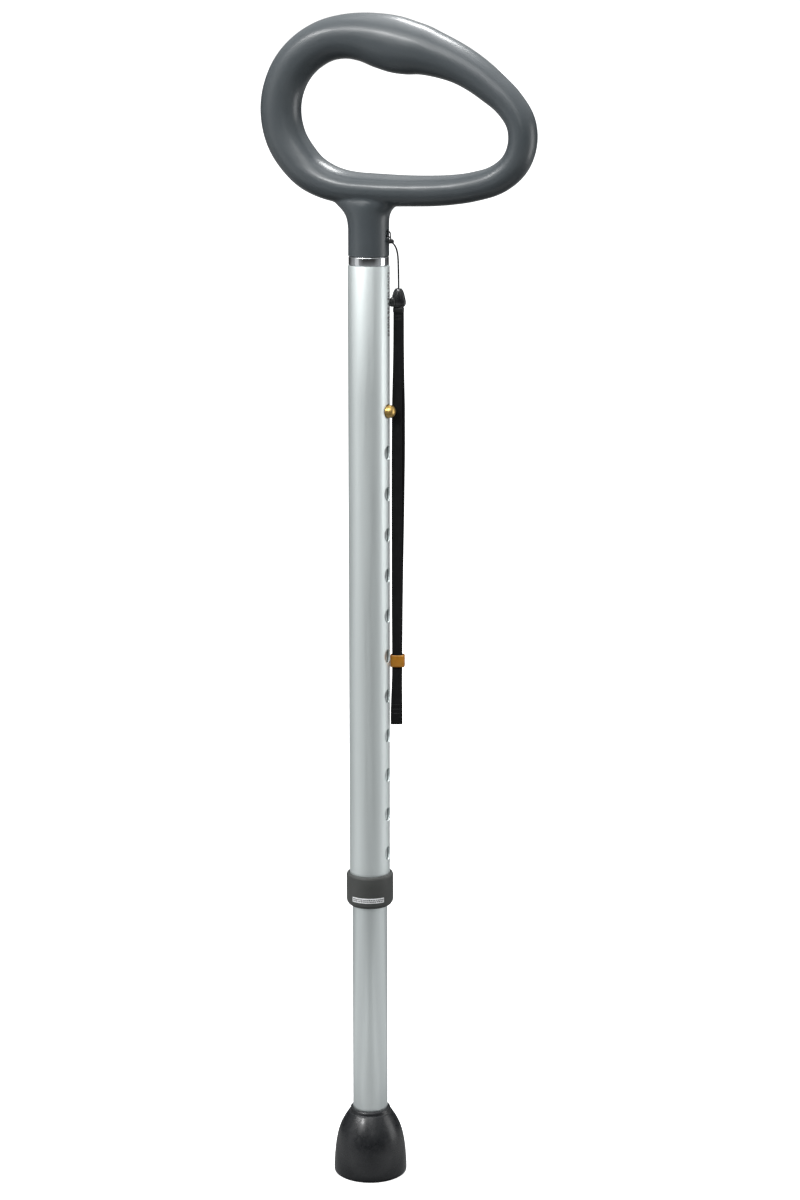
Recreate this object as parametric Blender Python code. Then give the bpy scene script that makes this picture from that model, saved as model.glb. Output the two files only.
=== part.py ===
"""Single point cane: loop handle, two telescoping tubes, a button height lock and a wrist strap.

Metres, +Z up. The foot stands on the origin and the cane's axis is the Z axis. The handle's long
nose, the row of height holes and the wrist strap are on the +X side. Every physical piece is one
named object with its own material.
"""

import math

import bmesh
import bpy
from mathutils import Matrix, Vector

MM = 0.001
FIT = 0.3 * MM
ROUND = 36
FINE = 48
SMALL = 16
TINY = 12

# Tubes and height holes
UPPER_R = 12.7 * MM
UPPER_BORE = 11.5 * MM
UPPER_Z = (186.3 * MM, 581.4 * MM)
LOWER_R = 11.1 * MM
LOWER_BORE = 9.9 * MM
LOWER_Z = (10.0 * MM, 518.0 * MM)
TUBE_EASE = 0.3 * MM
HOLE_R = 4.25 * MM
HOLE_PITCH = 25.4 * MM
HOLE_COUNT = 12
TOP_HOLE_Z = 493.4 * MM

# Handle loop: centre X, centre Z, half thickness in the loop's plane, half thickness across it
HANDLE_LOOP = [
    (96.1, 667.2, 8.6, 10.2),
    (88.3, 678.6, 8.9, 10.6),
    (78.1, 687.3, 9.7, 11.3),
    (68.7, 694.1, 10.4, 12.0),
    (59.5, 699.4, 11.2, 12.6),
    (50.6, 703.2, 12.2, 13.2),
    (42.1, 706.1, 13.3, 13.8),
    (33.9, 708.5, 14.7, 14.3),
    (25.5, 709.9, 16.0, 14.6),
    (17.2, 711.6, 16.6, 14.7),
    (8.1, 713.7, 16.0, 14.4),
    (-2.6, 715.8, 14.4, 13.9),
    (-14.5, 716.2, 13.1, 13.4),
    (-26.8, 713.9, 12.5, 13.0),
    (-38.1, 708.2, 12.4, 12.7),
    (-47.4, 699.8, 12.4, 12.5),
    (-53.8, 689.2, 12.4, 12.4),
    (-56.9, 677.5, 12.4, 12.4),
    (-56.5, 665.5, 12.4, 12.4),
    (-52.9, 654.2, 12.3, 12.4),
    (-46.2, 644.4, 12.0, 12.5),
    (-38.0, 636.4, 11.4, 12.7),
    (-27.8, 631.1, 10.7, 12.9),
    (-17.3, 628.2, 10.1, 13.1),
    (-7.3, 627.0, 9.8, 13.2),
    (1.7, 626.6, 9.7, 13.2),
    (9.7, 626.3, 9.7, 13.0),
    (17.4, 626.2, 9.5, 12.6),
    (25.1, 626.2, 9.3, 12.2),
    (33.3, 626.3, 9.2, 11.8),
    (42.6, 626.6, 9.1, 11.4),
    (53.4, 627.4, 8.9, 11.0),
    (66.3, 629.3, 8.7, 10.6),
    (81.2, 633.7, 8.6, 10.3),
    (92.3, 642.3, 8.5, 10.0),
    (97.3, 654.3, 8.5, 10.0),
]
LOOP_STEPS = 2
LOOP_SIDES = 16

# Neck sections going up: Z, reach towards -X, reach towards +X, half depth across
NECK_RINGS = [
    (586.8, 11.9, 11.9, 11.9),
    (587.3, 12.4, 12.4, 12.4),
    (603.0, 12.4, 12.4, 12.4),
    (608.0, 13.0, 12.4, 12.4),
    (611.0, 14.1, 12.8, 12.4),
    (614.0, 16.3, 14.1, 12.5),
    (616.5, 19.2, 16.6, 12.5),
    (619.0, 22.0, 19.6, 12.2),
    (622.0, 20.0, 18.0, 11.0),
]
NECK_BORE_R = 11.5 * MM
NECK_BORE_TOP = 588.9 * MM
NECK_CORE_R = 5.8 * MM
NECK_CORE_TOP = 612.4 * MM
EYE_Z = 600.5 * MM
EYE_R = 2.4 * MM
EYE_X = (7.6 * MM, 16.0 * MM)
EYE_BAR_X = 10.2 * MM
EYE_BAR_R = 1.1 * MM

SPIGOT_PROFILE = [
    (4.0, 541.0), (10.7, 541.0), (11.2, 542.0), (11.2, 588.6), (5.5, 588.6),
    (5.5, 611.6), (5.1, 612.0), (0.0, 612.0), (0.0, 600.0), (4.0, 598.0),
]
RING_PROFILE = [
    (11.5, 581.7), (12.0, 581.7), (12.2, 581.9), (12.2, 586.3), (12.0, 586.5), (11.5, 586.5),
]
RIVET_Z = 562.0 * MM
RIVET_HOLE_R = 1.75 * MM
RIVET_HOLE_Y = (6.4 * MM, 16.0 * MM)
RIVET_PROFILE = [
    (0.0, 6.8), (1.1, 6.8), (1.45, 7.2), (1.45, 12.95), (2.9, 12.95), (2.7, 13.4),
    (1.9, 13.8), (0.0, 14.0),
]

# Collet sleeve and locking collar
SLEEVE_PROFILE = [
    (11.5, 184.3), (13.4, 184.3), (13.7, 184.6), (13.7, 188.4), (13.4, 188.7), (13.4, 189.7),
    (13.7, 190.0), (13.7, 191.6), (13.4, 191.9), (13.4, 192.9), (13.7, 193.2), (13.7, 196.7),
    (13.4, 197.0), (13.0, 197.0), (13.0, 186.0), (11.5, 186.0),
]
SLEEVE_SLOTS = 4
SLEEVE_SLOT_WIDE = 1.2 * MM
SLEEVE_SLOT_Z = (183.0 * MM, 187.6 * MM)
COLLAR_PROFILE = [
    (11.5, 179.5), (12.4, 179.5), (13.6, 180.3), (14.5, 181.7), (14.8, 183.0), (14.8, 199.0),
    (14.5, 199.8), (13.7, 200.7), (13.1, 200.7), (13.1, 197.4), (14.0, 197.4), (14.0, 183.8),
    (11.5, 183.8),
]
LABEL_R = (14.9 * MM, 15.1 * MM)
LABEL_Z = (184.4 * MM, 188.0 * MM)
LABEL_ANGLES = (-118.0, -35.0)
LABEL_STEPS = 14

# Bush, foot and washer
BUSH_PROFILE = [
    (6.5, 505.5), (9.2, 505.5), (9.6, 506.5), (9.6, 518.3), (11.2, 518.3), (11.2, 520.8),
    (10.7, 521.3), (6.5, 521.3),
]
TIP_PROFILE = [
    (0.0, 0.0), (5.0, 0.0), (5.4, 1.4), (7.4, 1.4), (7.8, 0.0), (11.0, 0.0), (11.4, 1.4),
    (13.4, 1.4), (13.8, 0.0), (17.0, 0.0), (17.4, 1.4), (19.4, 1.4), (19.8, 0.0), (22.6, 0.0),
    (23.2, 0.7), (23.3, 3.0), (23.1, 8.0), (22.8, 12.5), (22.3, 17.5), (21.6, 22.0),
    (20.6, 26.5), (19.3, 30.5), (17.7, 34.0), (15.8, 37.4), (14.0, 40.2), (12.9, 42.2),
    (12.4, 43.2), (12.0, 43.4), (11.7, 43.4), (11.4, 43.0), (11.4, 8.0), (0.0, 8.0),
]
WASHER_PROFILE = [(3.0, 8.3), (10.8, 8.3), (10.8, 9.7), (3.0, 9.7)]

# Snap button about its own axis, and its leaf spring in the XZ plane
BUTTON_PROFILE = [
    (0.0, 6.6), (4.3, 6.6), (4.6, 6.9), (4.6, 7.6), (3.9, 7.6), (3.9, 14.0), (3.8, 15.0),
    (3.45, 15.8), (2.8, 16.5), (1.9, 16.95), (0.9, 17.15), (0.0, 17.2),
]
SPRING_LINE = [
    (6.05, 499.0), (6.05, 486.0), (5.6, 474.0), (4.2, 464.0), (1.6, 457.6), (-1.2, 455.6),
    (-4.0, 457.6), (-6.2, 464.0), (-7.7, 474.0), (-8.4, 486.0), (-8.5, 500.0),
]
SPRING_THICK = 0.5 * MM
SPRING_WIDE = 7.0 * MM

# Wrist strap hanging beside the tube
STRAP_X = 16.8 * MM
STRAP_Y = 6.3 * MM
STRAP_WIDE = 5.6 * MM
PLY = 0.9 * MM
PLY_APART = 1.2 * MM
STRAP_Z = (295.9 * MM, 553.3 * MM)
FOLD_STEPS = 6
FERRULE_SIZE = (5.4 * MM, 2.2 * MM)
FERRULE_Z = (553.6 * MM, 555.8 * MM)
SLIDER_OUTER = (9.0 * MM, 4.4 * MM)
SLIDER_INNER = (6.2 * MM, 2.7 * MM)
SLIDER_Z = (332.5 * MM, 340.1 * MM)
SLIDER_CORNER = 1.2 * MM
SLIDER_INNER_CORNER = 0.4 * MM
FERRULE_CORNER = 0.5 * MM
# Connector sections going up: Z, half width along X, half depth along Y
CONNECTOR_RINGS = [
    (556.1, 3.0, 2.1), (556.9, 3.8, 2.6), (558.0, 4.4, 2.9), (559.6, 4.45, 3.0),
    (561.2, 4.15, 2.9), (563.3, 3.7, 2.7), (565.4, 3.1, 2.4), (566.8, 2.4, 2.0),
    (567.6, 1.7, 1.6),
]
CONNECTOR_BORE_R = 1.1 * MM
CONNECTOR_BORE_Z = (561.5 * MM, 570.0 * MM)
# The knot is near a ball about the swing's pivot at z 596, so that it clears the neck all the way
KNOT_PROFILE = [
    (1.3, 594.75), (1.5, 595.0), (1.75, 595.55), (1.82, 596.0), (1.75, 596.45), (1.5, 597.0),
    (1.3, 597.25),
]
KNOT_X = 14.4 * MM
CORD_THICK = 0.8 * MM
CORD_SPACING = 2.0 * MM
CORD_RESOLUTION = 2
# The cord's route, in millimetres: up from the connector, round the eye's bar and down again
CORD_ROUTE = [
    (16.8, 5.85, 562.2), (16.8, 5.85, 567.0), (16.7, 5.3, 572.5), (16.3, 3.9, 580.0),
    (15.6, 1.7, 587.0), (14.8, 0.2, 590.6), (14.4, -0.45, 594.2), (14.4, -0.45, 597.0),
    (14.4, -0.45, 600.2),
    (13.9, -0.45, 601.5), (12.7, -0.35, 602.2), (10.3, 0.0, 602.2), (9.0, 0.0, 601.7),
    (8.5, 0.0, 600.5), (9.0, 0.0, 599.3), (10.3, 0.0, 598.8), (12.6, 0.35, 598.8),
    (13.9, 0.45, 598.2), (14.4, 0.45, 597.0), (14.4, 0.45, 594.2), (14.9, 1.2, 590.6),
    (15.7, 2.7, 587.0),
    (16.5, 4.9, 580.0), (16.8, 6.2, 572.5), (16.8, 6.75, 567.0), (16.8, 6.75, 562.2),
]

# Colour, metalness and roughness of each material
MATERIALS = {
    "grip_grey": ((0.09, 0.10, 0.11), 0.0, 0.35),
    "core_aluminium": ((0.55, 0.56, 0.57), 1.0, 0.4),
    "ring_chrome": ((0.80, 0.81, 0.82), 1.0, 0.08),
    "rivet_steel": ((0.55, 0.55, 0.56), 1.0, 0.35),
    "upper_anodised": ((0.62, 0.65, 0.66), 1.0, 0.38),
    "sleeve_plastic": ((0.06, 0.06, 0.06), 0.0, 0.5),
    "collar_plastic": ((0.10, 0.10, 0.095), 0.0, 0.55),
    "label_paper": ((0.80, 0.80, 0.80), 0.0, 0.6),
    "lower_anodised": ((0.52, 0.55, 0.56), 1.0, 0.36),
    "bush_plastic": ((0.70, 0.70, 0.68), 0.0, 0.5),
    "spring_steel": ((0.45, 0.46, 0.48), 1.0, 0.3),
    "button_brass": ((0.78, 0.55, 0.20), 1.0, 0.3),
    "tip_rubber": ((0.02, 0.022, 0.025), 0.0, 0.5),
    "washer_steel": ((0.5, 0.5, 0.5), 1.0, 0.35),
    "cord_nylon": ((0.015, 0.015, 0.015), 0.0, 0.7),
    "knot_nylon": ((0.016, 0.016, 0.016), 0.0, 0.7),
    "connector_plastic": ((0.012, 0.012, 0.013), 0.0, 0.25),
    "ferrule_plastic": ((0.013, 0.013, 0.013), 0.0, 0.4),
    "strap_webbing": ((0.014, 0.014, 0.015), 0.0, 0.85),
    "slider_amber": ((0.45, 0.20, 0.03), 0.0, 0.35),
}


def clear_scene():
    for obj in list(bpy.data.objects):
        bpy.data.objects.remove(obj, do_unlink=True)


def make_material(name):
    colour, metallic, roughness = MATERIALS[name]
    material = bpy.data.materials.new(name)
    material.use_nodes = True
    shader = material.node_tree.nodes["Principled BSDF"]
    shader.inputs["Base Color"].default_value = (*colour, 1.0)
    shader.inputs["Metallic"].default_value = metallic
    shader.inputs["Roughness"].default_value = roughness
    return material


def add_object(name, bm, material=None):
    """A mesh object with outward faces from a bmesh, which is freed."""
    bmesh.ops.recalc_face_normals(bm, faces=bm.faces)
    mesh = bpy.data.meshes.new(name)
    bm.to_mesh(mesh)
    bm.free()
    obj = bpy.data.objects.new(name, mesh)
    bpy.context.scene.collection.objects.link(obj)
    if material:
        mesh.materials.append(make_material(material))
    return obj


def join_rings(bm, rings, loop=False):
    """Quads between neighbouring rings of vertices. A ring of one vertex is a pole."""
    pairs = list(zip(rings, rings[1:]))
    if loop:
        pairs.append((rings[-1], rings[0]))
    for low, high in pairs:
        count = max(len(low), len(high))
        for i in range(count):
            j = (i + 1) % count
            corners = [low[i % len(low)], low[j % len(low)]]
            corners += [high[j % len(high)], high[i % len(high)]]
            corners = list(dict.fromkeys(corners))
            if len(corners) > 2:
                bm.faces.new(corners)


def revolve(name, profile, material=None, sides=ROUND, centre=(0.0, 0.0)):
    """A solid of revolution about a vertical axis, from a closed outline in millimetres."""
    bm = bmesh.new()
    rings = []
    for radius, height in profile:
        if radius == 0.0:
            rings.append([bm.verts.new((centre[0], centre[1], height * MM))])
            continue
        ring = []
        for k in range(sides):
            angle = math.tau * k / sides
            x = centre[0] + radius * MM * math.cos(angle)
            y = centre[1] + radius * MM * math.sin(angle)
            ring.append(bm.verts.new((x, y, height * MM)))
        rings.append(ring)
    join_rings(bm, rings, loop=True)
    return add_object(name, bm, material)


def loft(name, rings, material=None, loop=False):
    """A closed solid through rings of points, capped at both ends unless it is a loop."""
    bm = bmesh.new()
    made = [[bm.verts.new(point) for point in ring] for ring in rings]
    join_rings(bm, made, loop)
    if not loop:
        bm.faces.new(made[0])
        bm.faces.new(made[-1])
    return add_object(name, bm, material)


def rod(start, end, radius, sides=SMALL):
    """A plain cylinder between two points, for cutting or adding."""
    start, end = Vector(start), Vector(end)
    turn = (end - start).to_track_quat("Z", "Y").to_matrix().to_4x4()
    place = Matrix.Translation((start + end) / 2) @ turn
    bm = bmesh.new()
    bmesh.ops.create_cone(
        bm, cap_ends=True, segments=sides, radius1=radius, radius2=radius,
        depth=(end - start).length, matrix=place,
    )
    return add_object("tool", bm)


def block(centre, size):
    bm = bmesh.new()
    bmesh.ops.create_cube(bm, size=1.0)
    bmesh.ops.scale(bm, vec=size, verts=bm.verts)
    bmesh.ops.translate(bm, vec=centre, verts=bm.verts)
    return add_object("tool", bm)


def combine(obj, tool, operation):
    """Applies an exact Boolean and removes the tool."""
    modifier = obj.modifiers.new("combine", "BOOLEAN")
    modifier.operation = operation
    modifier.solver = "EXACT"
    modifier.object = tool
    graph = bpy.context.evaluated_depsgraph_get()
    mesh = bpy.data.meshes.new_from_object(obj.evaluated_get(graph))
    obj.modifiers.clear()
    obj.data = mesh
    bpy.data.objects.remove(tool, do_unlink=True)


def catmull(a, b, c, d, t):
    """A point between b and c on the uniform Catmull-Rom curve through four points."""
    return [
        0.5 * (2 * q + (r - p) * t + (2 * p - 5 * q + 4 * r - s) * t ** 2
               + (3 * q - p - 3 * r + s) * t ** 3)
        for p, q, r, s in zip(a, b, c, d)
    ]


def closed_curve(stations, steps):
    """The stations of a closed curve with steps - 1 extra ones between neighbours."""
    count = len(stations)
    fine = []
    for i in range(count):
        four = [stations[(i + k) % count] for k in (-1, 0, 1, 2)]
        fine += [catmull(*four, step / steps) for step in range(steps)]
    return fine


def open_route(points, spacing):
    """Evenly spaced points on a smooth open curve through the given points, in metres."""
    padded = [points[0], *points, points[-1]]
    dense = []
    for i in range(len(points) - 1):
        dense += [Vector(catmull(*padded[i:i + 4], k / SMALL)) * MM for k in range(SMALL)]
    dense.append(Vector(points[-1]) * MM)
    route, walked = [dense[0]], 0.0
    for before, after in zip(dense, dense[1:]):
        walked += (after - before).length
        if walked >= spacing:
            route.append(after)
            walked = 0.0
    if (route[-1] - dense[-1]).length < spacing / 2:
        route.pop()
    return [*route, dense[-1]]


def handle_loop():
    """The swept loop of the handle, with an oval section that swells at the palm."""
    line = closed_curve(HANDLE_LOOP, LOOP_STEPS)
    rings = []
    for i, (x, z, half_in, half_across) in enumerate(line):
        before, after = line[i - 1], line[(i + 1) % len(line)]
        along = Vector((after[0] - before[0], 0.0, after[1] - before[1])).normalized()
        out = Vector((along.z, 0.0, -along.x))
        ring = []
        for k in range(LOOP_SIDES):
            angle = math.tau * k / LOOP_SIDES
            point = Vector((x, 0.0, z)) + out * (half_in * math.cos(angle))
            point.y = half_across * math.sin(angle)
            ring.append(point * MM)
        rings.append(ring)
    return loft("handle_grip", rings, "grip_grey", loop=True)


def handle_neck():
    rings = []
    for z, left, right, across in NECK_RINGS:
        ring = []
        for k in range(ROUND):
            angle = math.tau * k / ROUND
            reach = right if math.cos(angle) > 0 else left
            x, y = reach * math.cos(angle), across * math.sin(angle)
            ring.append((x * MM, y * MM, z * MM))
        rings.append(ring)
    return loft("tool", rings)


def make_handle():
    """The moulded grip: loop and neck in one piece, bored for its plug, with an eye for the cord."""
    grip = handle_loop()
    combine(grip, handle_neck(), "UNION")
    below = (0.0, 0.0, UPPER_Z[1])
    combine(grip, rod(below, (0.0, 0.0, NECK_BORE_TOP), NECK_BORE_R, ROUND), "DIFFERENCE")
    combine(grip, rod(below, (0.0, 0.0, NECK_CORE_TOP), NECK_CORE_R, ROUND), "DIFFERENCE")
    pocket = rod((EYE_X[0], 0.0, EYE_Z), (EYE_X[1], 0.0, EYE_Z), EYE_R, SMALL)
    bar_end = EYE_R + FIT
    bar = rod((EYE_BAR_X, -bar_end, EYE_Z), (EYE_BAR_X, bar_end, EYE_Z), EYE_BAR_R, TINY)
    combine(pocket, bar, "DIFFERENCE")
    combine(grip, pocket, "DIFFERENCE")


def make_spigot():
    spigot = revolve("handle_spigot", SPIGOT_PROFILE, "core_aluminium")
    near, far = RIVET_HOLE_Y
    combine(spigot, rod((0.0, near, RIVET_Z), (0.0, far, RIVET_Z), RIVET_HOLE_R), "DIFFERENCE")


def turned(name, profile, material, axis, height, sides=SMALL):
    """A revolved piece whose own axis lies along a horizontal direction at a height."""
    piece = revolve(name, profile, material, sides)
    lay = Vector(axis).to_track_quat("Z", "Y").to_matrix().to_4x4()
    piece.data.transform(Matrix.Translation((0.0, 0.0, height)) @ lay)


def tube(name, outer, bore, span, material):
    low, high = (z / MM for z in span)
    out, inner, ease = outer / MM, bore / MM, TUBE_EASE / MM
    profile = [
        (inner, low), (out - ease, low), (out, low + ease), (out, high - ease),
        (out - ease, high), (inner, high),
    ]
    return revolve(name, profile, material, FINE)


def pierce(obj, height, inner, outer, radius=HOLE_R):
    """Drills one wall of a tube from the +X side."""
    combine(obj, rod((inner, 0.0, height), (outer, 0.0, height), radius), "DIFFERENCE")


def make_upper_tube():
    upper = tube("upper_tube", UPPER_R, UPPER_BORE, UPPER_Z, "upper_anodised")
    for k in range(HOLE_COUNT):
        pierce(upper, TOP_HOLE_Z - k * HOLE_PITCH, UPPER_BORE / 2, UPPER_R * 2)
    inner, outer = UPPER_BORE / 2, UPPER_R * 2
    combine(upper, rod((0.0, inner, RIVET_Z), (0.0, outer, RIVET_Z), RIVET_HOLE_R), "DIFFERENCE")


def make_lower_tube():
    lower = tube("lower_tube", LOWER_R, LOWER_BORE, LOWER_Z, "lower_anodised")
    pierce(lower, TOP_HOLE_Z, LOWER_BORE / 2, LOWER_R * 2)


def make_sleeve():
    sleeve = revolve("collet_sleeve", SLEEVE_PROFILE, "sleeve_plastic")
    low, high = SLEEVE_SLOT_Z
    size = (4 * UPPER_R, SLEEVE_SLOT_WIDE, high - low)
    for k in range(SLEEVE_SLOTS // 2):
        slot = block((0.0, 0.0, 0.0), size)
        turn = Matrix.Rotation(math.pi * k / (SLEEVE_SLOTS // 2) + math.pi / 4, 4, "Z")
        slot.data.transform(Matrix.Translation((0.0, 0.0, (low + high) / 2)) @ turn)
        combine(sleeve, slot, "DIFFERENCE")


def make_label():
    start, end = (math.radians(a) for a in LABEL_ANGLES)
    (inner, outer), (low, high) = LABEL_R, LABEL_Z
    rings = []
    for k in range(LABEL_STEPS + 1):
        angle = start + (end - start) * k / LABEL_STEPS
        c, s = math.cos(angle), math.sin(angle)
        corners = [(inner, low), (outer, low), (outer, high), (inner, high)]
        rings.append([(r * c, r * s, z) for r, z in corners])
    loft("collar_label", rings, "label_paper")


def ribbon(name, line, wide, thick, material):
    """A flat strip along a line of points. Each point comes with the strip's thickness direction."""
    rings = []
    for point, across, side in line:
        half_a, half_s = across * thick / 2, side * wide / 2
        rings.append([
            point - half_a - half_s, point + half_a - half_s,
            point + half_a + half_s, point - half_a + half_s,
        ])
    loft(name, rings, material)


def make_spring():
    side = Vector((0.0, 1.0, 0.0))
    points = [Vector((x * MM, 0.0, z * MM)) for x, z in SPRING_LINE]
    line = []
    for i, point in enumerate(points):
        before, after = points[max(i - 1, 0)], points[min(i + 1, len(points) - 1)]
        along = (after - before).normalized()
        line.append((point, Vector((along.z, 0.0, -along.x)), side))
    ribbon("button_spring", line, SPRING_WIDE, SPRING_THICK, "spring_steel")


def make_strap():
    """Two plies hanging side by side, folded at the bottom."""
    low, high = STRAP_Z
    half = PLY_APART / 2
    fold = low + half + PLY / 2
    side = Vector((1.0, 0.0, 0.0))
    front, back = Vector((0.0, -1.0, 0.0)), Vector((0.0, 1.0, 0.0))
    line = [(Vector((STRAP_X, STRAP_Y - half, high)), front, side)]
    for k in range(FOLD_STEPS + 1):
        angle = math.pi * k / FOLD_STEPS
        out = Vector((0.0, -math.cos(angle), -math.sin(angle)))
        line.append((Vector((STRAP_X, STRAP_Y, fold)) + out * half, out, side))
    line.append((Vector((STRAP_X, STRAP_Y + half, high)), back, side))
    ribbon("wrist_strap", line, STRAP_WIDE, PLY, "strap_webbing")


def rounded_ring(size, corner, height, steps=4):
    """Points round a rectangle with rounded corners, about the strap's line."""
    half_x, half_y = size[0] / 2 - corner, size[1] / 2 - corner
    points = []
    for k, (sx, sy) in enumerate([(1, 1), (-1, 1), (-1, -1), (1, -1)]):
        for step in range(steps + 1):
            angle = math.pi / 2 * (k + step / steps)
            x = STRAP_X + sx * half_x + corner * math.cos(angle)
            y = STRAP_Y + sy * half_y + corner * math.sin(angle)
            points.append((x, y, height))
    return points


def make_ferrule():
    rings = [rounded_ring(FERRULE_SIZE, FERRULE_CORNER, z) for z in FERRULE_Z]
    loft("strap_ferrule", rings, "ferrule_plastic")


def make_slider():
    low, high = SLIDER_Z
    ease = FIT
    smaller = (SLIDER_OUTER[0] - 2 * ease, SLIDER_OUTER[1] - 2 * ease)
    rings = [
        rounded_ring(smaller, SLIDER_CORNER, low),
        rounded_ring(SLIDER_OUTER, SLIDER_CORNER, low + ease),
        rounded_ring(SLIDER_OUTER, SLIDER_CORNER, high - ease),
        rounded_ring(smaller, SLIDER_CORNER, high),
        rounded_ring(SLIDER_INNER, SLIDER_INNER_CORNER, high),
        rounded_ring(SLIDER_INNER, SLIDER_INNER_CORNER, low),
    ]
    loft("strap_slider", rings, "slider_amber", loop=True)


def make_connector():
    rings = []
    for z, half_x, half_y in CONNECTOR_RINGS:
        ring = []
        for k in range(SMALL):
            angle = math.tau * k / SMALL
            x = STRAP_X + half_x * MM * math.cos(angle)
            y = STRAP_Y + half_y * MM * math.sin(angle)
            ring.append((x, y, z * MM))
        rings.append(ring)
    connector = loft("cord_connector", rings, "connector_plastic")
    low, high = CONNECTOR_BORE_Z
    bore = rod((STRAP_X, STRAP_Y, low), (STRAP_X, STRAP_Y, high), CONNECTOR_BORE_R)
    combine(connector, bore, "DIFFERENCE")


def make_cord():
    """The thin cord: one tube that runs up, round the eye's bar and back down."""
    curve = bpy.data.curves.new("lanyard_cord", "CURVE")
    curve.dimensions = "3D"
    curve.bevel_depth = CORD_THICK / 2
    curve.bevel_resolution = CORD_RESOLUTION
    curve.use_fill_caps = True
    route = open_route(CORD_ROUTE, CORD_SPACING)
    spline = curve.splines.new("POLY")
    spline.points.add(len(route) - 1)
    for point, place in zip(spline.points, route):
        point.co = (*place, 1.0)
    cord = bpy.data.objects.new("lanyard_cord", curve)
    bpy.context.scene.collection.objects.link(cord)
    curve.materials.append(make_material("cord_nylon"))


def build():
    clear_scene()
    make_handle()
    make_spigot()
    revolve("neck_ring", RING_PROFILE, "ring_chrome", FINE)
    turned("handle_rivet", RIVET_PROFILE, "rivet_steel", (0.0, 1.0, 0.0), RIVET_Z)
    make_upper_tube()
    make_sleeve()
    revolve("lock_collar", COLLAR_PROFILE, "collar_plastic", FINE)
    make_label()
    make_lower_tube()
    revolve("guide_bush", BUSH_PROFILE, "bush_plastic")
    make_spring()
    turned("snap_button", BUTTON_PROFILE, "button_brass", (1.0, 0.0, 0.0), TOP_HOLE_Z)
    revolve("rubber_tip", TIP_PROFILE, "tip_rubber")
    revolve("tip_washer", WASHER_PROFILE, "washer_steel")
    make_cord()
    revolve("cord_knot", KNOT_PROFILE, "knot_nylon", SMALL, (KNOT_X, 0.0))
    make_connector()
    make_ferrule()
    make_strap()
    make_slider()


build()
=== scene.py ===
"""Looks for the single point cane: a detailed piece for every CAD node that shows, and a studio."""

import math
import random

import bmesh
import bpy
from mathutils import Matrix, Vector


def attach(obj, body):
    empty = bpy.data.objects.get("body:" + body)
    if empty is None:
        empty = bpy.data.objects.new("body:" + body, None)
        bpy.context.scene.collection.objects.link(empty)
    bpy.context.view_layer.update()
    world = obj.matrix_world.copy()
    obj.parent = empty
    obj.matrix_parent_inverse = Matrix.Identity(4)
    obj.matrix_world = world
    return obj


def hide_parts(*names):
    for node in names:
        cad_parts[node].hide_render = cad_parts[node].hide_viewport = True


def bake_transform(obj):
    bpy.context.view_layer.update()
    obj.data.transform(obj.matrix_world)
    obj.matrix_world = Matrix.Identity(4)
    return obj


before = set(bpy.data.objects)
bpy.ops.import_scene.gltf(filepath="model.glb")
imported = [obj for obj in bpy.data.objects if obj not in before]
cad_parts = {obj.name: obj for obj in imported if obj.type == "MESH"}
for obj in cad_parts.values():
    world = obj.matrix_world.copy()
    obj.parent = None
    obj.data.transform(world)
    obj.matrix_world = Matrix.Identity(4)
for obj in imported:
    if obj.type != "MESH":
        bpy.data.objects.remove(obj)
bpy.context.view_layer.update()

MM = 0.001
TAU = math.tau

# ---- camera
CAMERA_AZIMUTH = math.radians(22.0)
CAMERA_PITCH = math.radians(11.86)
CAMERA_ROLL = math.radians(0.02)
CAMERA_BACK = 1.625
CAMERA_RIGHT = 0.0189
CAMERA_HEIGHT = 0.7167
LENS = 80.64


def heading(azimuth, distance, height):
    """A point at an azimuth round the cane, where azimuth 0 is on the -Y side and 90 on +X."""
    return Vector((math.sin(azimuth) * distance, -math.cos(azimuth) * distance, height))


def make_camera():
    data = bpy.data.cameras.new("camera")
    data.lens = LENS
    data.sensor_width = 36.0
    data.clip_start = 0.05
    data.clip_end = 200.0
    camera = bpy.data.objects.new("camera", data)
    right = Vector((math.cos(CAMERA_AZIMUTH), math.sin(CAMERA_AZIMUTH), 0.0))
    camera.location = heading(CAMERA_AZIMUTH, CAMERA_BACK, CAMERA_HEIGHT) + right * CAMERA_RIGHT
    turn = (
        Matrix.Rotation(CAMERA_AZIMUTH, 3, "Z")
        @ Matrix.Rotation(math.pi / 2 - CAMERA_PITCH, 3, "X")
        @ Matrix.Rotation(CAMERA_ROLL, 3, "Z")
    )
    camera.rotation_euler = turn.to_euler()
    bpy.context.scene.collection.objects.link(camera)
    bpy.context.scene.camera = camera


make_camera()


# ---- mesh helpers
def around(sides):
    """The angles of points evenly round a circle."""
    return [TAU * k / sides for k in range(sides)]


def shade(obj, sharp):
    """Smooth shading, with edges kept sharp above an angle in degrees."""
    obj.data.polygons.foreach_set("use_smooth", [True] * len(obj.data.polygons))
    obj.data.set_sharp_from_angle(angle=math.radians(sharp))


def add_object(name, bm, material=None, sharp=35.0):
    """Links a mesh built in bmesh, with its loose ends welded and its faces turned outwards."""
    bmesh.ops.remove_doubles(bm, verts=bm.verts, dist=1e-8)
    bmesh.ops.recalc_face_normals(bm, faces=bm.faces)
    mesh = bpy.data.meshes.new(name)
    bm.to_mesh(mesh)
    bm.free()
    obj = bpy.data.objects.new(name, mesh)
    shade(obj, sharp)
    bpy.context.scene.collection.objects.link(obj)
    if material is not None:
        mesh.materials.append(material)
    return obj


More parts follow.
